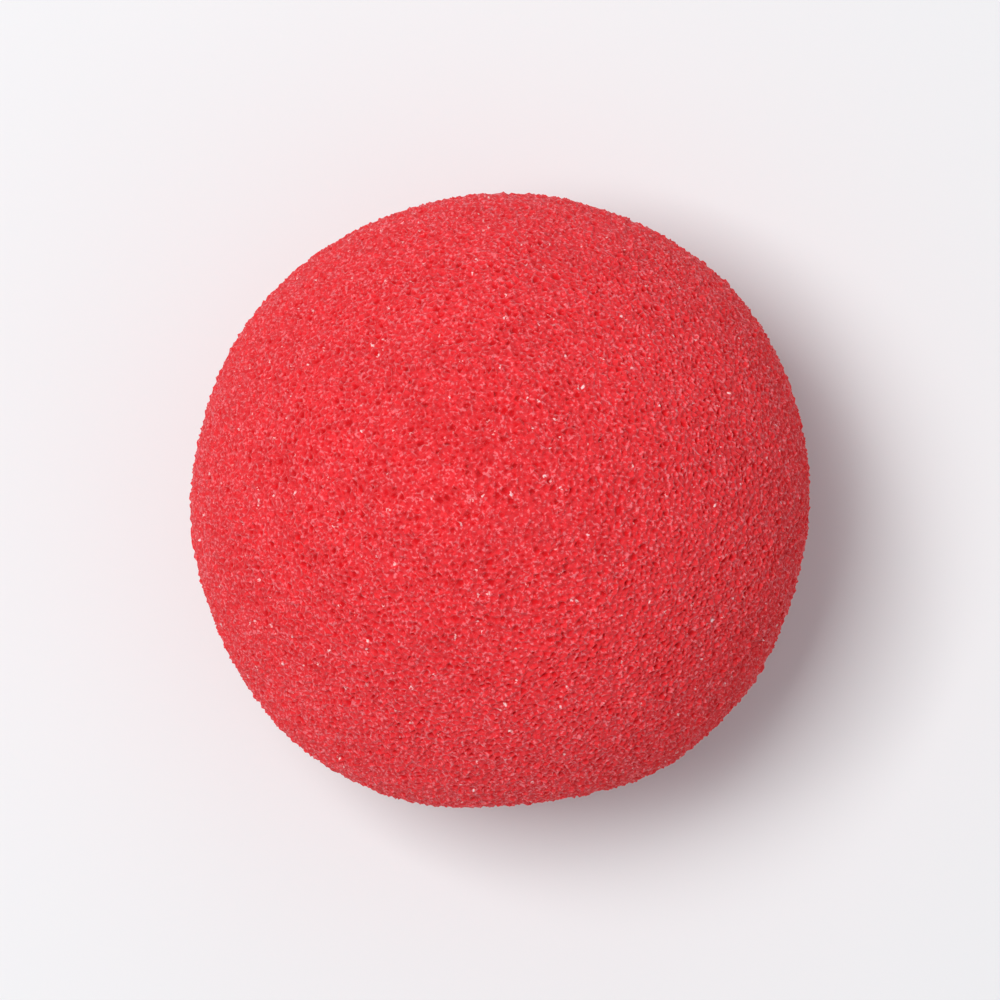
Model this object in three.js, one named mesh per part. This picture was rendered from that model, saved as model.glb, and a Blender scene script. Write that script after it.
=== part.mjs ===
// A foam clown nose: one ball of soft open-cell foam, with a round pocket cut into its back
// for the wearer's own nose. Millimetres, +Z up. The ball rests on the flat ring round the
// pocket's mouth, so +Z is also the way that the nose points when it is worn, and the origin
// is the middle of the mouth.
import * as THREE from "three";
import { mergeVertices } from "three/addons/utils/BufferGeometryUtils.js";

// Driving sizes
const ballDiameter = 50.8;
const pocketDiameter = 22;
const pocketDepth = 26; // from the rest ring to the top of the dome
const pocketDomeRise = 6; // the rounded end of the pocket, for the tip of a nose
const pocketWaist = 0.6; // how far the wall bows inwards half way up, as cut foam does
const restRingWidth = 1.8; // the flat ring, between its two rounded edges
const rimRounding = 1.6; // edge from the skin to the flat ring
const mouthRounding = 0.9; // edge from the flat ring into the pocket

// The ball isn't quite true. Each row is a soft flat, or a swelling where rise is above 0,
// on the skin: bearing in degrees anticlockwise from +X, lift in degrees above the ball's
// equator, spread in degrees from its middle to its edge, and rise as a share of the radius.
const unevenness = [
  { bearing: 277, lift: -4, spread: 26, rise: -0.032 },
  { bearing: 236, lift: 2, spread: 38, rise: 0.019 },
  { bearing: 308, lift: 6, spread: 34, rise: 0.01 },
  { bearing: 168, lift: 4, spread: 20, rise: -0.009 },
  { bearing: 105, lift: 0, spread: 40, rise: -0.008 },
  { bearing: 40, lift: 0, spread: 32, rise: 0.013 },
  { bearing: 346, lift: -2, spread: 22, rise: -0.013 },
  { bearing: 128, lift: 48, spread: 30, rise: -0.009 },
  { bearing: 12, lift: 58, spread: 26, rise: 0.006 },
  { bearing: 250, lift: 62, spread: 28, rise: -0.007 },
];
const levelTop = 0.45; // share of the radius over which the unevenness fades in above the rim
const skinShare = 0.999; // points nearer the ball's middle than this share of the radius aren't skin

// How finely the faces are cut
const stepsRound = 64;
const steps = { skin: 30, rim: 4, mouth: 3, wall: 6, dome: 7 };
const sameSpot = 1e-4; // points closer than this are one point

// Sizes that follow
const ballRadius = ballDiameter / 2;
const pocketRadius = pocketDiameter / 2;
const restRingInner = pocketRadius + mouthRounding;
const restRingOuter = restRingInner + restRingWidth;
// The rim's rounding touches the ball from inside and the floor from above.
const rimReach = ballRadius - rimRounding;
const ballHeight = rimRounding + Math.sqrt(rimReach ** 2 - restRingOuter ** 2);
const rimAngle = Math.atan2(rimRounding - ballHeight, restRingOuter);

// Points of an arc in the profile's plane, where x is the distance from the axis and y the height.
function arc(centreX, centreY, radius, fromAngle, toAngle, count) {
  return Array.from({ length: count + 1 }, (_, i) => {
    const angle = THREE.MathUtils.lerp(fromAngle, toAngle, i / count);
    return new THREE.Vector2(
      centreX + radius * Math.cos(angle),
      centreY + radius * Math.sin(angle),
    );
  });
}

// The dome that ends the pocket, a quarter of an ellipse from the axis down to the wall.
function domePoints() {
  return arc(0, 0, 1, Math.PI / 2, 0, steps.dome).map(
    ({ x, y }) =>
      new THREE.Vector2(
        pocketRadius * x,
        pocketDepth - pocketDomeRise * (1 - y),
      ),
  );
}

// The pocket's wall, from the dome down to the mouth's rounding.
function wallPoints() {
  const top = pocketDepth - pocketDomeRise;
  return Array.from({ length: steps.wall + 1 }, (_, i) => {
    const share = i / steps.wall;
    const height = THREE.MathUtils.lerp(top, mouthRounding, share);
    const radius = pocketRadius - pocketWaist * Math.sin(Math.PI * share);
    return new THREE.Vector2(radius, height);
  });
}

// Half of the ball's section, from the top of the pocket's dome down its wall, over the rest
// ring, and up the skin to the front pole.
function profilePoints() {
  const joined = [
    domePoints(),
    wallPoints(),
    arc(restRingInner, mouthRounding, mouthRounding, -Math.PI, -Math.PI / 2, steps.mouth),
    arc(restRingOuter, rimRounding, rimRounding, -Math.PI / 2, rimAngle, steps.rim),
    arc(0, ballHeight, ballRadius, rimAngle, Math.PI / 2, steps.skin),
  ].flat();
  joined[0].x = 0;
  joined[joined.length - 1].x = 0;
  return joined.filter((point, i) => i === 0 || point.distanceTo(joined[i - 1]) > sameSpot);
}

// How far the skin stands out from a true ball in one direction, as a share of the radius.
function skinRise(direction) {
  let rise = 0;
  for (const row of unevenness) {
    const bearing = THREE.MathUtils.degToRad(row.bearing);
    const lift = THREE.MathUtils.degToRad(row.lift);
    const middle = new THREE.Vector3(
      Math.cos(lift) * Math.cos(bearing),
      Math.cos(lift) * Math.sin(bearing),
      Math.sin(lift),
    );
    const away = THREE.MathUtils.radToDeg(middle.angleTo(direction));
    rise += row.rise * (1 - THREE.MathUtils.smootherstep(away, 0, row.spread));
  }
  return rise;
}

// Moves the skin's points in and out by the unevenness. The rim, the rest ring and the pocket
// stay as turned.
function makeUneven(geometry) {
  const centre = new THREE.Vector3(0, 0, ballHeight);
  const rimTop = ballHeight + ballRadius * Math.sin(rimAngle);
  const position = geometry.getAttribute("position");
  const point = new THREE.Vector3();
  for (let i = 0; i < position.count; i++) {
    point.fromBufferAttribute(position, i);
    const arm = point.clone().sub(centre);
    const onSkin = arm.length() > ballRadius * skinShare && point.z > rimTop;
    if (!onSkin) continue;
    const fade = THREE.MathUtils.smoothstep(point.z, rimTop, rimTop + levelTop * ballRadius);
    arm.multiplyScalar(1 + fade * skinRise(arm.clone().normalize()));
    point.copy(centre).add(arm);
    position.setXYZ(i, point.x, point.y, point.z);
  }
  position.needsUpdate = true;
}

// The ball with its pocket, as one closed surface.
function foamBallGeometry() {
  const turned = new THREE.LatheGeometry(profilePoints(), stepsRound);
  turned.rotateX(Math.PI / 2);
  turned.deleteAttribute("normal");
  turned.deleteAttribute("uv");
  const closed = mergeVertices(turned, sameSpot);
  makeUneven(closed);
  closed.computeVertexNormals();
  return closed;
}

const redFoam = new THREE.MeshStandardMaterial({
  name: "red_foam",
  color: 0xde3a42,
  roughness: 0.96,
  metalness: 0,
});

const foamBall = new THREE.Mesh(foamBallGeometry(), redFoam);
foamBall.name = "foam_ball";

const clownNose = new THREE.Group();
clownNose.name = "clown_nose";
clownNose.add(foamBall);

export default clownNose;
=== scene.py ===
"""A red foam clown nose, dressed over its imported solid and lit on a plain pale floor.

The nose is one ball of soft open-cell foam. It rests on the flat ring round its pocket, and the
camera looks straight down at its round side. Lengths are metres, and +Z is up.
"""
import logging
from dataclasses import dataclass
from enum import Enum
from typing import ClassVar

import bmesh
import bpy
import numpy as np
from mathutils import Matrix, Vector, noise


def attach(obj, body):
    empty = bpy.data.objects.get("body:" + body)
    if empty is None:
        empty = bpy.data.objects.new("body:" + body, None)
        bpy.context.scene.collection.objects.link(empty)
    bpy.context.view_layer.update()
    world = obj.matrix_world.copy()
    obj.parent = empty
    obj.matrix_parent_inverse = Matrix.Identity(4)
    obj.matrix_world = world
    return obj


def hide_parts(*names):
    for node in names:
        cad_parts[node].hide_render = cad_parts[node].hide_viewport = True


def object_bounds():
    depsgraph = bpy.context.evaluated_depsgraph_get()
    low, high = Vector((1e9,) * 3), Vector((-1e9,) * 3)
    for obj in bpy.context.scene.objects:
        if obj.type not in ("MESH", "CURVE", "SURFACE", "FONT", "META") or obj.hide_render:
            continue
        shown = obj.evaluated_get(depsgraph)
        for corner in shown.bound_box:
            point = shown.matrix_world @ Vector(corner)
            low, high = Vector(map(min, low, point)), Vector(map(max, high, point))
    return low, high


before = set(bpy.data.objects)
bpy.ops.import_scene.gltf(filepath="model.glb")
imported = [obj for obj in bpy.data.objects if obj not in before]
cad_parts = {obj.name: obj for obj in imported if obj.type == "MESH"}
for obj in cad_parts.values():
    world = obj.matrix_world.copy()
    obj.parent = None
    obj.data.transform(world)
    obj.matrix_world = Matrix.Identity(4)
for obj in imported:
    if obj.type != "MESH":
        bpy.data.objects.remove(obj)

CAD_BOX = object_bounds()
LOG = logging.getLogger("clown_nose")

MM = 0.001
SAME_SPOT = 1e-6
SEED = 41

FOAM_NODE = "foam_ball"
FOAM_SLOT = "red_foam"
ROOT_BODY = "root"
PORE_VALUE = "pore"  # each point's depth, from 0 on a crest to 1 at the bottom of the deepest pores

BALL_RADIUS = 25.4 * MM
BALL_MIDDLE = CAD_BOX[1].z - BALL_RADIUS  # its height
POCKET_RADIUS = 11.0 * MM

Colour = tuple[float, float, float, float]
Span = tuple[float, float]


class Panel(Enum):
    """The panels that the foam's surface is folded out in.

    The first six face each axis in turn, first along it and then against it.
    """

    RIGHT = 0
    LEFT = 1
    FAR = 2
    NEAR = 3
    TOP = 4
    UNDER = 5
    WALL = 6
    DOME = 7


class NodeBench:
    """Adds and joins the nodes of one tree."""

    def __init__(self, tree: bpy.types.NodeTree) -> None:
        """Takes the tree and empties it.

        Args:
            tree: The node tree to fill.
        """
        self.tree = tree
        tree.nodes.clear()

    def feed(self, socket: bpy.types.NodeSocket, value: object) -> None:
        """Links a socket to another socket, or sets its own value.

        Args:
            socket: The input to feed.
            value: A socket to link from, or a plain value.
        """
        if isinstance(value, bpy.types.NodeSocket):
            self.tree.links.new(value, socket)
        else:
            socket.default_value = value

    def add(self, kind: str, inputs: dict | None = None, **settings: object) -> bpy.types.Node:
        """Adds a node.

        Args:
            kind: The node's type name.
            inputs: Values or sockets for its inputs, by name or number.
            settings: The node's own settings.

        Returns:
            The new node.
        """
        node = self.tree.nodes.new(kind)
        for name, value in settings.items():
            setattr(node, name, value)
        for name, value in (inputs or {}).items():
            self.feed(node.inputs[name], value)
        return node

    def math(self, operation: str, *values: object, clamp: bool = False) -> bpy.types.NodeSocket:
        """Adds a Math node.

        Args:
            operation: The operation's name.
            values: Its operands.
            clamp: Whether the result is held between 0 and 1.

        Returns:
            The result's socket.
        """
        inputs = dict(enumerate(values))
        node = self.add("ShaderNodeMath", inputs, operation=operation, use_clamp=clamp)
        return node.outputs[0]

    def fade(self, value: object, start: float, end: float) -> bpy.types.NodeSocket:
        """Turns a value into a smooth mask.

        Args:
            value: The value to read.
            start: Where the mask is 0.
            end: Where the mask is 1.

        Returns:
            The mask's socket.
        """
        inputs = {"Value": value, "From Min": start, "From Max": end}
        node = self.add("ShaderNodeMapRange", inputs, interpolation_type="SMOOTHSTEP")
        return node.outputs["Result"]

    def spread(self, value: object, low: float, high: float) -> bpy.types.NodeSocket:
        """Stretches a value of 0 to 1 over other ends.

        Args:
            value: The value to read.
            low: What 0 becomes.
            high: What 1 becomes.

        Returns:
            The result's socket.
        """
        node = self.add("ShaderNodeMapRange", {"Value": value, "To Min": low, "To Max": high})
        return node.outputs["Result"]

    def blend(self, share: object, first: object, second: object, how: str = "MIX") -> bpy.types.NodeSocket:
        """Mixes two colours.

        Args:
            share: How much of the second colour is taken.
            first: The first colour.
            second: The second colour.
            how: The blend's name.

        Returns:
            The mixed colour's socket.
        """
        inputs = {0: share, 6: first, 7: second}  # a colour Mix's factor and its two colours
        node = self.add("ShaderNodeMix", inputs, data_type="RGBA", blend_type=how)
        return node.outputs[2]


@dataclass(frozen=True)
class FoamGrain:
    """The node group for the struts and windows of open-cell foam, too fine for the mesh."""

    NAME: ClassVar[str] = "foam_grain"
    INPUTS: ClassVar[dict[str, str]] = {
        "Position": "NodeSocketVector",
        "Cells per mm": "NodeSocketFloat",
        "Grit per mm": "NodeSocketFloat",
    }
    OUTPUTS: ClassVar[dict[str, str]] = {
        "Strut": "NodeSocketFloat",
        "Fleck": "NodeSocketFloat",
        "Grit": "NodeSocketFloat",
        "Lot": "NodeSocketFloat",
        "Other Lot": "NodeSocketFloat",
        "Middle": "NodeSocketFloat",
    }

    warp_per_mm: float = 3.2
    warp_detail: float = 0.0
    warp_reach: float = 0.14  # millimetres
    grit_detail: float = 1.0
    strut: Span = (0.34, 0.68)  # of a cell, from its middle
    window: Span = (0.56, 0.26)  # of a cell, from its middle
    fleck: Span = (0.46, 0.62)  # of the grit

    def group(self) -> bpy.types.NodeTree:
        """Builds the group once.

        Returns:
            The group, new or as built before.
        """
        found = bpy.data.node_groups.get(self.NAME)
        if found:
            return found
        tree = bpy.data.node_groups.new(self.NAME, "ShaderNodeTree")
        for way, sockets in (("INPUT", self.INPUTS), ("OUTPUT", self.OUTPUTS)):
            for name, kind in sockets.items():
                tree.interface.new_socket(name=name, in_out=way, socket_type=kind)
        self.fill(NodeBench(tree))
        return tree

    def fill(self, bench: NodeBench) -> None:
        """Adds the group's nodes.

        Args:
            bench: The group's bench.
        """
        given = bench.add("NodeGroupInput").outputs
        wander = bench.add(
            "ShaderNodeTexNoise",
            {"Vector": given["Position"], "Scale": self.warp_per_mm, "Detail": self.warp_detail},
        )
        moved = bench.add(
            "ShaderNodeVectorMath",
            {0: wander.outputs["Color"], 1: (self.warp_reach,) * 3, 2: given["Position"]},
            operation="MULTIPLY_ADD",
        )
        cells = bench.add(
            "ShaderNodeTexVoronoi",
            {"Vector": moved.outputs[0], "Scale": given["Cells per mm"]},
            feature="F1",
        )
        grit = bench.add(
            "ShaderNodeTexNoise",
            {"Vector": given["Position"], "Scale": given["Grit per mm"], "Detail": self.grit_detail},
        )
        away = cells.outputs["Distance"]
        strut = bench.fade(away, *self.strut)
        window = bench.fade(away, *self.window)
        lit = bench.fade(grit.outputs[0], *self.fleck)
        lots = bench.add("ShaderNodeSeparateColor", {0: cells.outputs["Color"]}).outputs
        bench.add(
            "NodeGroupOutput",
            {
                "Strut": strut,
                # Pale flecks on the struts: painted highlights where strut ends catch the light
                "Fleck": bench.math("MULTIPLY", strut, lit),
                "Grit": grit.outputs[0],
                "Lot": lots[0],
                "Other Lot": lots[1],
                "Middle": bench.math("MULTIPLY", window, lit),
            },
        )


@dataclass(frozen=True)
class RedFoamFinish:
    """Dyed soft foam: painted pore shade, pale lit strut ends and windows, a velvet bloom, painted glints.
    """

    # Painted shade, darkening and deepening the red from a strut's crest, at 0, to the bottom of a pore, at
    # 1
    painted_shades: tuple[tuple[float, Colour], ...] = (
        (0.00, (0.82, 0.152, 0.173, 1.0)),
        (0.20, (0.78, 0.066, 0.080, 1.0)),
        (0.42, (0.75, 0.034, 0.043, 1.0)),
        (0.70, (0.72, 0.015, 0.023, 1.0)),
        (1.00, (0.66, 0.004, 0.009, 1.0)),
    )
    # A painted highlight: the glints' pale pink is mixed into the base colour
    painted_glint_red: Colour = (1.0, 0.62, 0.62, 1.0)
    bloom_red: Colour = (1.0, 0.50, 0.53, 1.0)
    cells_per_mm: float = 2.3
    grit_per_mm: float = 4.2
    mottle_per_mm: float = 0.16
    mottle_detail: float = 3.0
    cell_lightness: Span = (0.90, 1.08)
    mottle_lightness: Span = (0.91, 1.09)
    relief: float = 0.05 * MM
    relief_strength: float = 0.7
    roughness: float = 0.93
    glint_roughness: float = 0.35
    ior: float = 1.45
    specular: float = 0.35
    bloom: float = 0.34
    bloom_roughness: float = 0.36
    glow: float = 0.52
    glow_reach: tuple[float, float, float] = (1.0, 0.16, 0.12)  # millimetres for red, green and blue
    window_share: float = 0.26  # of the cells
    glint_share: float = 0.03
    window_cover: float = 0.8  # how much of a cell's depth its window hides
    # These set the painted pore shade: the mesh's pores and the open cells away from lit flecks darken the
    # red, and the grit varies it at random
    pore: Span = (0.16, 0.74)  # of the mesh's own depth
    pore_weight: float = 0.80
    cell_weight: float = 0.46
    grit_weight: float = 0.60
    grit_middle: float = 0.5

    def material(self) -> bpy.types.Material:
        """Builds the foam's material.

        Returns:
            The material.
        """
        made = bpy.data.materials.new(FOAM_SLOT)
        made.use_nodes = True
        bench = NodeBench(made.node_tree)
        place = bench.add("ShaderNodeTexCoord").outputs["Object"]
        scaled = bench.add("ShaderNodeVectorMath", {0: place, "Scale": 1 / MM}, operation="SCALE")
        in_mm = scaled.outputs[0]
        # The mesh's pore depth drives the painted shade in the pores
        carved = bench.add("ShaderNodeAttribute", attribute_name=PORE_VALUE).outputs["Fac"]
        pore = bench.fade(carved, *self.pore)
        grain = self.grain(bench, in_mm)
        # Closed windows are left out of the painted pore shade; the glints are painted highlights, while
        # their lower roughness is the struts' own
        window = self.some_middles(bench, grain, self.window_share)
        glint = self.some_middles(bench, grain, self.glint_share)
        hollow = self.hollow(bench, pore, grain, window)
        colour = self.colour(bench, in_mm, hollow, grain["Other Lot"])
        shader = bench.add(
            "ShaderNodeBsdfPrincipled",
            {
                "Base Color": bench.blend(glint, colour, self.painted_glint_red),
                "Roughness": bench.spread(glint, self.roughness, self.glint_roughness),
                "Normal": self.normal(bench, grain, window),
                "Subsurface Weight": self.glow,
                "Subsurface Radius": self.glow_reach,
                "Subsurface Scale": MM,
                "Sheen Weight": self.bloom,
                "Sheen Roughness": self.bloom_roughness,
                "Sheen Tint": self.bloom_red,
                "IOR": self.ior,
                "Specular IOR Level": self.specular,
            },
        )
        bench.add("ShaderNodeOutputMaterial", {"Surface": shader.outputs[0]})
        return made

    def grain(self, bench: NodeBench, in_mm: bpy.types.NodeSocket) -> bpy.types.NodeOutputs:
        """Places the grain group.

        Args:
            bench: The material's bench.
            in_mm: The place on the piece, in millimetres.

        Returns:
            The group's outputs.
        """
        node = bench.add("ShaderNodeGroup")
        node.node_tree = FoamGrain().group()
        bench.feed(node.inputs["Position"], in_mm)
        bench.feed(node.inputs["Cells per mm"], self.cells_per_mm)
        bench.feed(node.inputs["Grit per mm"], self.grit_per_mm)
        return node.outputs

    def some_middles(
        self, bench: NodeBench, grain: bpy.types.NodeOutputs, share: float
    ) -> bpy.types.NodeSocket:
        """Masks the middles of a share of the cells.

        Args:
            bench: The material's bench.
            grain: The grain group's outputs.
            share: How many of the cells are taken, as a share of them all.

        Returns:
            The mask's socket.
        """
        drawn = bench.math("LESS_THAN", grain["Lot"], share)
        return bench.math("MULTIPLY", drawn, grain["Middle"])

    def hollow(
        self,
        bench: NodeBench,
        pore: bpy.types.NodeSocket,
        grain: bpy.types.NodeOutputs,
        window: bpy.types.NodeSocket,
    ) -> bpy.types.NodeSocket:
        """Says how deep in a pore each spot lies, which sets its painted shade.

        Args:
            bench: The material's bench.
            pore: The mesh's own pores.
            grain: The grain group's outputs.
            window: The mask of the closed cell windows.

        Returns:
            A socket from 0, a strut's crest or a window, to 1, the bottom of a pore.
        """
        # Painted shade: deeper in the mesh's pores and in open cells away from lit flecks, less under
        # closed windows; the grit adds random tone
        carved = bench.math("MULTIPLY", pore, self.pore_weight)
        fleck = bench.math("MULTIPLY", grain["Fleck"], bench.math("SUBTRACT", 1.0, pore))
        open_cell = bench.math("MULTIPLY", bench.math("SUBTRACT", 1.0, fleck), self.cell_weight)
        below = bench.math("SUBTRACT", self.grit_middle, grain["Grit"])
        grit = bench.math("MULTIPLY", below, self.grit_weight)
        deep = bench.math("ADD", bench.math("ADD", carved, open_cell), grit, clamp=True)
        covered = bench.math("MULTIPLY", window, self.window_cover)
        return bench.math("MULTIPLY", deep, bench.math("SUBTRACT", 1.0, covered))

    def colour(
        self,
        bench: NodeBench,
        in_mm: bpy.types.NodeSocket,
        hollow: bpy.types.NodeSocket,
        lot: bpy.types.NodeSocket,
    ) -> bpy.types.NodeSocket:
        """Paints the pores' shade into the red, and varies its lightness at random by cell and by cloud.

        Args:
            bench: The material's bench.
            in_mm: The place on the piece, in millimetres.
            hollow: How deep in a pore each spot lies, which sets its painted shade.
            lot: A value of each cell's own.

        Returns:
            The colour's socket.
        """
        # The ramp paints shade: a darker, deeper red the deeper a spot lies in a pore
        ramp = bench.add("ShaderNodeValToRGB", {0: hollow})
        stops = ramp.color_ramp.elements
        stops.remove(stops[1])
        stops[0].position, stops[0].color = self.painted_shades[0]
        for position, shade in self.painted_shades[1:]:
            stops.new(position).color = shade
        cloud = bench.add(
            "ShaderNodeTexNoise",
            {"Vector": in_mm, "Scale": self.mottle_per_mm, "Detail": self.mottle_detail},
        )
        of_cell = bench.spread(lot, *self.cell_lightness)
        of_cloud = bench.spread(cloud.outputs[0], *self.mottle_lightness)
        lightness = bench.math("MULTIPLY", of_cell, of_cloud)
        return bench.blend(1.0, ramp.outputs[0], self.grey(bench, lightness), "MULTIPLY")

    def grey(self, bench: NodeBench, value: bpy.types.NodeSocket) -> bpy.types.NodeSocket:
        """Returns a grey colour socket of a value's strength."""
        return bench.add("ShaderNodeCombineColor", {0: value, 1: value, 2: value}).outputs[0]

    def normal(
        self, bench: NodeBench, grain: bpy.types.NodeOutputs, window: bpy.types.NodeSocket
    ) -> bpy.types.NodeSocket:
        """Raises the struts, the grit and the windows.

        Args:
            bench: The material's bench.
            grain: The grain group's outputs.
            window: The mask of the closed cell windows.

        Returns:
            The normal's socket.
        """
        raised = bench.math("MAXIMUM", grain["Strut"], window)
        height = bench.math("ADD", raised, grain["Grit"])
        inputs = {"Height": height, "Distance": self.relief, "Strength": self.relief_strength}
        return bench.add("ShaderNodeBump", inputs).outputs[0]


@dataclass(frozen=True)
class FoldOut:
    """The foam laid out flat: a cube's six sides, the pocket's wall in a strip below, and its dome.

    The dome takes the hole that the pocket's mouth leaves in the under side.
    """

    name: str = "OFBake"
    mouth_radius: float = 11.9 * MM
    dome_start: float = 20.0 * MM
    dome_rise: float = 6.0 * MM
    dome_margin: float = 1.0 * MM  # how far above the dome a triangle may still be one of its own
    dome_reach: float = 12.0 * MM
    half_side: float = 0.82  # a little over 45 degrees, so that no two sides touch
    columns: int = 3
    rows: int = 2
    sides_from: float = 0.22
    strip: Span = (0.005, 0.205)
    seam: float = 0.01

    def lay(self, mesh: bpy.types.Mesh, even: np.ndarray) -> None:
        """Gives the mesh its map.

        Args:
            mesh: The foam's triangles.
            even: Where each vertex was before its cells were opened.
        """
        corners = np.empty(len(mesh.loops), np.int32)
        mesh.loops.foreach_get("vertex_index", corners)
        spots = even[corners].reshape(-1, 3, 3)
        panels = self.panels(spots.mean(axis=1))
        flat = np.empty((len(spots), 3, 2))
        for panel in Panel:
            chosen = panels == panel.value
            flat[chosen] = self.place(panel, spots[chosen])
        layer = mesh.uv_layers.new(name=self.name)
        layer.data.foreach_set("uv", flat.astype(np.float32).ravel())

    def arms(self, spots: np.ndarray) -> np.ndarray:
        """Returns the way to each spot from the ball's middle."""
        return spots - np.array((0.0, 0.0, BALL_MIDDLE))

    def panels(self, middles: np.ndarray) -> np.ndarray:
        """Picks each triangle's panel.

        Args:
            middles: The triangles' middles.

        Returns:
            The panels' numbers.
        """
        arms = self.arms(middles)
        axis = np.abs(arms).argmax(axis=1)
        behind = np.take_along_axis(arms, axis[:, None], axis=1)[:, 0] < 0
        panels = 2 * axis + behind
        out = np.hypot(middles[:, 0], middles[:, 1])
        top = self.dome_start + self.dome_rise
        in_pocket = (out < self.mouth_radius) & (middles[:, 2] < top + self.dome_margin)
        panels[in_pocket] = Panel.WALL.value
        panels[in_pocket & (middles[:, 2] > self.dome_start)] = Panel.DOME.value
        return panels

    def place(self, panel: Panel, spots: np.ndarray) -> np.ndarray:
        """Lays one panel's triangles flat.

        Args:
            panel: The panel.
            spots: The triangles' corners.

        Returns:
            Their places in the map.
        """
        if panel is Panel.WALL:
            return self.wall(spots)
        if panel is Panel.DOME:
            return self.square(Panel.UNDER, self.dome(spots))
        axis, behind = divmod(panel.value, 2)
        sign = 1 - 2 * behind
        arms = self.arms(spots)
        ahead = sign * arms[..., axis]
        across = np.arctan2(arms[..., (axis + 1) % 3], ahead)
        along = np.arctan2(arms[..., (axis + 2) % 3], ahead)
        return self.square(panel, np.stack((sign * across, along), axis=-1) / self.half_side)

    def square(self, panel: Panel, spots: np.ndarray) -> np.ndarray:
        """Moves a side's triangles into its own part of the map.

        Args:
            panel: The side.
            spots: The triangles' corners, as places of -1 to 1 on the side.

        Returns:
            Their places in the map.
        """
        row, column = divmod(panel.value, self.columns)
        high = (1.0 - self.sides_from) / self.rows
        u = (column + 0.5 + 0.5 * spots[..., 0]) / self.columns
        v = self.sides_from + (row + 0.5 + 0.5 * spots[..., 1]) * high
        return np.stack((u, v), axis=-1)

    def dome(self, spots: np.ndarray) -> np.ndarray:
        """Flattens the dome into a disc inside the under side.

        Args:
            spots: The triangles' corners.

        Returns:
            Places of -1 to 1 in the under side.
        """
        out = np.hypot(spots[..., 0], spots[..., 1])
        up = (spots[..., 2] - self.dome_start) / self.dome_rise
        turn = np.arctan2(out / POCKET_RADIUS, up) / (np.pi / 2)
        reach = turn * self.dome_reach / (BALL_RADIUS * self.half_side)
        away = np.maximum(out, SAME_SPOT)
        return np.stack((-reach * spots[..., 0] / away, reach * spots[..., 1] / away), axis=-1)

    def wall(self, spots: np.ndarray) -> np.ndarray:
        """Unrolls the pocket's wall into the strip.

        Args:
            spots: The triangles' corners.

        Returns:
            Their places in the map.
        """
        middles = spots.mean(axis=1)
        bearing = np.arctan2(middles[:, 1], middles[:, 0])[:, None]
        round_it = np.arctan2(spots[..., 1], spots[..., 0]) - bearing
        round_it = (round_it + np.pi) % (2 * np.pi) - np.pi + bearing
        u = self.seam + (1 - 2 * self.seam) * (round_it / (2 * np.pi) + 0.5)
        out = np.hypot(spots[..., 0], spots[..., 1])
        down = self.dome_start - spots[..., 2] + np.maximum(out - POCKET_RADIUS, 0)
        length = self.dome_start + self.mouth_radius - POCKET_RADIUS
        v = self.strip[0] + (self.strip[1] - self.strip[0]) * down / length
        return np.stack((u, v), axis=-1)


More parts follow.
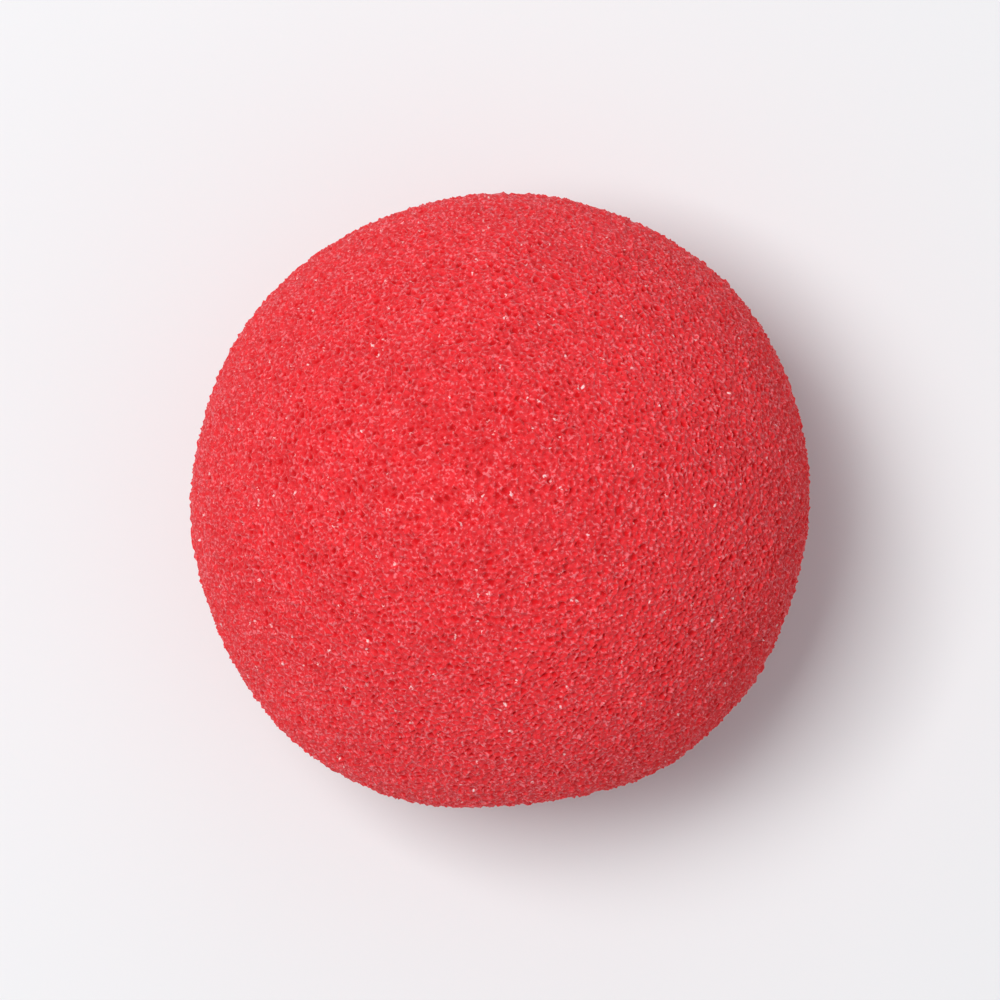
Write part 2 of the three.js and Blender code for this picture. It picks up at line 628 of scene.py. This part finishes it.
@dataclass
class FoamNose:
    """The nose: a ball of foam whose whole surface is opened cells."""

    name: str = "red_foam_nose"
    first_pitch: float = 0.28 * MM
    cells: int = 32000  # a cell takes six triangles
    stray: float = 0.12 * MM
    stray_levelled: float = 0.8  # how much of a stray's rise or fall is taken out
    relax_rounds: int = 3
    relax_share: float = 0.4
    drift: float = 0.06 * MM
    pore_depth: float = 0.19 * MM
    pore_spread: Span = (0.60, 1.15)
    window_depth: float = 0.34 * MM
    window_share: float = 0.10
    crest: float = 0.09 * MM
    crest_spread: Span = (-0.6, 1.4)
    tuft: float = 0.26 * MM
    tuft_spread: Span = (0.6, 1.0)
    tuft_share: float = 0.14
    skin_depth: float = 1.8 * MM  # what lies deeper than this under the ball is the pocket
    # The width and the height of each layer of unevenness
    lumps: tuple[Span, ...] = ((9.0 * MM, 0.16 * MM), (3.4 * MM, 0.06 * MM), (1.5 * MM, 0.02 * MM))
    pocket_lumps: tuple[Span, ...] = ((4.0 * MM, 0.30 * MM), (1.6 * MM, 0.12 * MM))
    fill: float = 0.95

    def build(self) -> bpy.types.Object:
        """Makes and dresses the piece.

        Returns:
            The finished piece.
        """
        piece = self.merged_solid()
        self.mesh_evenly(piece)
        self.open_cells(piece)
        piece.data.materials.append(RedFoamFinish().material())
        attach(piece, ROOT_BODY)
        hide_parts(FOAM_NODE)
        return piece

    def merged_solid(self) -> bpy.types.Object:
        """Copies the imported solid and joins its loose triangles.

        Returns:
            An object with the merged copy.
        """
        shape = bmesh.new()
        shape.from_mesh(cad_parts[FOAM_NODE].data)
        bmesh.ops.remove_doubles(shape, verts=shape.verts[:], dist=SAME_SPOT)
        mesh = bpy.data.meshes.new(self.name)
        shape.to_mesh(mesh)
        shape.free()
        made = bpy.data.objects.new(self.name, mesh)
        bpy.context.scene.collection.objects.link(made)
        return made

    def mesh_evenly(self, piece: bpy.types.Object) -> None:
        """Gives the ball one vertex where each cell will open, evenly spread but in no grid.

        Args:
            piece: The merged copy.
        """
        fine = piece.modifiers.new("fine", "REMESH")
        fine.mode = "VOXEL"
        fine.voxel_size = self.first_pitch
        fine.adaptivity = 0.0
        self.settle(piece)
        self.scatter(piece.data)
        thin = piece.modifiers.new("thin", "DECIMATE")
        thin.ratio = self.cells / len(piece.data.vertices)
        self.settle(piece)
        LOG.info("%s: %d cells to open", self.name, len(piece.data.vertices))

    def settle(self, piece: bpy.types.Object) -> None:
        """Makes the piece's mesh what its modifiers make of it.

        Args:
            piece: The piece, which loses its modifiers.
        """
        graph = bpy.context.evaluated_depsgraph_get()
        mesh = bpy.data.meshes.new_from_object(piece.evaluated_get(graph))
        piece.modifiers.clear()
        piece.data = mesh

    def scatter(self, mesh: bpy.types.Mesh) -> None:
        """Moves the vertices at random off the grid that they were made on.

        Args:
            mesh: The finely meshed ball.
        """
        draw = np.random.default_rng(SEED)
        shape = bmesh.new()
        shape.from_mesh(mesh)
        bmesh.ops.triangulate(shape, faces=shape.faces[:])
        strays = draw.normal(0.0, self.stray, (len(shape.verts), 3))
        for vertex, stray in zip(shape.verts, strays, strict=True):
            step = Vector(stray)
            vertex.co += step - vertex.normal * (self.stray_levelled * step.dot(vertex.normal))
        shape.to_mesh(mesh)
        shape.free()

    def open_cells(self, piece: bpy.types.Object) -> None:
        """Opens a pore at each vertex, with a crest of struts between neighbours.

        Args:
            piece: The evenly meshed ball.
        """
        draw = np.random.default_rng(SEED)
        shape = bmesh.new()
        shape.from_mesh(piece.data)
        bmesh.ops.triangulate(shape, faces=shape.faces[:])
        self.relax(shape)
        pores = set(shape.verts)
        spokes = shape.edges[:]
        bmesh.ops.poke(shape, faces=shape.faces[:], center_mode="MEAN")
        bmesh.ops.rotate_edges(shape, edges=spokes, use_ccw=False)
        shape.normal_update()
        is_pore = np.array([v in pores for v in shape.verts])
        places = np.array([v.co for v in shape.verts])
        normals = np.array([v.normal for v in shape.verts])
        depth = self.pore_depths(is_pore, draw)
        swell = np.array([self.swell(Vector(p)) for p in places])
        drift = draw.normal(0.0, self.drift, places.shape)
        drift -= normals * (drift * normals).sum(axis=1)[:, None]
        opened = places + drift + normals * (swell - depth)[:, None]
        opened[:, 2] = np.maximum(opened[:, 2], 0.0)
        mesh = bpy.data.meshes.new(self.name)
        shape.to_mesh(mesh)
        shape.free()
        mesh.vertices.foreach_set("co", opened.astype(np.float32).ravel())
        pore = mesh.attributes.new(PORE_VALUE, "FLOAT", "POINT")
        pore.data.foreach_set("value", np.clip(depth / self.window_depth, 0, 1).astype(np.float32))
        mesh.polygons.foreach_set("use_smooth", np.zeros(len(mesh.polygons), bool))
        FoldOut().lay(mesh, places)
        mesh.update()
        piece.data = mesh
        LOG.info("%s: %d triangles", self.name, len(mesh.polygons))

    def relax(self, shape: bmesh.types.BMesh) -> None:
        """Evens out the triangles between the scattered vertices.

        Args:
            shape: The triangulated ball.
        """
        every_way = {"use_axis_x": True, "use_axis_y": True, "use_axis_z": True}
        for _ in range(self.relax_rounds):
            bmesh.ops.beautify_fill(shape, faces=shape.faces[:], edges=shape.edges[:], method="ANGLE")
            bmesh.ops.smooth_vert(shape, verts=shape.verts[:], factor=self.relax_share, **every_way)
        bmesh.ops.beautify_fill(shape, faces=shape.faces[:], edges=shape.edges[:], method="ANGLE")

    def pore_depths(self, is_pore: np.ndarray, draw: np.random.Generator) -> np.ndarray:
        """Draws how deep each vertex lies under the ball's even surface.

        Args:
            is_pore: Whether each vertex is a pore's bottom, or else a crest.
            draw: The random draw.

        Returns:
            The depths, below 0 where a vertex stands proud.
        """
        count = len(is_pore)
        depth = self.pore_depth * draw.uniform(*self.pore_spread, count)
        depth[draw.random(count) < self.window_share] = self.window_depth
        crest = self.crest * draw.uniform(*self.crest_spread, count)
        tufts = draw.random(count) < self.tuft_share
        crest[tufts] = self.tuft * draw.uniform(*self.tuft_spread, tufts.sum())
        return np.where(is_pore, depth, -crest)

    def swell(self, place: Vector) -> float:
        """Works out the foam's larger unevenness at a place.

        Args:
            place: A point on the ball.

        Returns:
            How far the surface stands out there.
        """
        deep = (place - Vector((0, 0, BALL_MIDDLE))).length < BALL_RADIUS - self.skin_depth
        layers = self.pocket_lumps if deep else self.lumps
        return sum(height * noise.noise(place / width) for width, height in layers)


@dataclass
class Lamp:
    """One soft box."""

    name: str
    place: tuple[float, float, float]
    side: float
    watts: float

    def build(self, aim: Vector) -> bpy.types.Object:
        """Makes the soft box and points it.

        Args:
            aim: What it lights.

        Returns:
            The light's object.
        """
        light = bpy.data.lights.new(self.name, "AREA")
        light.shape = "SQUARE"
        light.size = self.side
        light.energy = self.watts
        made = bpy.data.objects.new(self.name, light)
        made.location = self.place
        made.rotation_euler = (aim - Vector(self.place)).to_track_quat("-Z", "Y").to_euler()
        bpy.context.scene.collection.objects.link(made)
        return made


@dataclass
class SoftStudio:
    """The pale floor, the soft boxes, the pale surroundings and the camera overhead."""

    lamps: tuple[Lamp, ...] = (
        Lamp("key_box", (-0.22, 0.10, 0.74), 0.30, 4.6),
        Lamp("fill_box", (0.50, -0.34, 0.50), 0.50, 0.2),
        Lamp("back_box", (0.10, 0.65, 0.45), 0.40, 0.2),
    )
    floor_side: float = 4.0
    floor_white: Colour = (0.80, 0.80, 0.805, 1.0)
    floor_roughness: float = 0.8
    surround_white: Colour = (0.92, 0.95, 1.0, 1.0)
    surround_strength: float = 0.42
    lens: float = 200.0  # millimetres, as lenses are sold
    sensor: float = 36.0  # millimetres
    ball_share: float = 0.62  # of the picture's width

    def build(self) -> None:
        """Sets up the whole studio."""
        aim = (CAD_BOX[0] + CAD_BOX[1]) / 2
        for lamp in self.lamps:
            lamp.build(aim)
        self.floor()
        self.surroundings()
        self.camera(aim)
        bpy.context.scene.view_settings.view_transform = "Standard"

    def floor(self) -> bpy.types.Object:
        """Lays the floor.

        Returns:
            The floor's object.
        """
        shape = bmesh.new()
        bmesh.ops.create_grid(shape, x_segments=1, y_segments=1, size=self.floor_side / 2)
        mesh = bpy.data.meshes.new("studio_floor")
        shape.to_mesh(mesh)
        shape.free()
        made = bpy.data.objects.new("studio_floor", mesh)
        bpy.context.scene.collection.objects.link(made)
        mesh.materials.append(self.floor_paint())
        return made

    def floor_paint(self) -> bpy.types.Material:
        """Mixes the floor's plain paint.

        Returns:
            The material.
        """
        paint = bpy.data.materials.new("pale_floor")
        paint.use_nodes = True
        bench = NodeBench(paint.node_tree)
        inputs = {"Base Color": self.floor_white, "Roughness": self.floor_roughness}
        shader = bench.add("ShaderNodeBsdfPrincipled", inputs)
        bench.add("ShaderNodeOutputMaterial", {"Surface": shader.outputs[0]})
        return paint

    def surroundings(self) -> None:
        """Makes the pale world round the floor."""
        world = bpy.data.worlds.new("pale_surroundings")
        world.use_nodes = True
        bench = NodeBench(world.node_tree)
        inputs = {"Color": self.surround_white, "Strength": self.surround_strength}
        light = bench.add("ShaderNodeBackground", inputs)
        bench.add("ShaderNodeOutputWorld", {"Surface": light.outputs[0]})
        bpy.context.scene.world = world

    def camera(self, aim: Vector) -> bpy.types.Object:
        """Hangs the camera straight above the ball, with +Y up in the picture.

        Args:
            aim: The ball's middle.

        Returns:
            The camera's object.
        """
        data = bpy.data.cameras.new("overhead")
        data.lens = self.lens
        data.sensor_width = self.sensor
        picture_width = 2 * BALL_RADIUS / self.ball_share
        rise = picture_width * self.lens / self.sensor
        made = bpy.data.objects.new("overhead", data)
        made.location = (aim.x, aim.y, aim.z + rise)
        bpy.context.scene.collection.objects.link(made)
        bpy.context.scene.camera = made
        return made


def main() -> None:
    """Builds the nose and its studio, and reports the piece."""
    logging.basicConfig(level=logging.INFO, format="%(name)s: %(message)s")
    piece = FoamNose().build()
    LOG.info("%s rides on %s", piece.name, ROOT_BODY)
    SoftStudio().build()


if __name__ == "__main__":
    main()
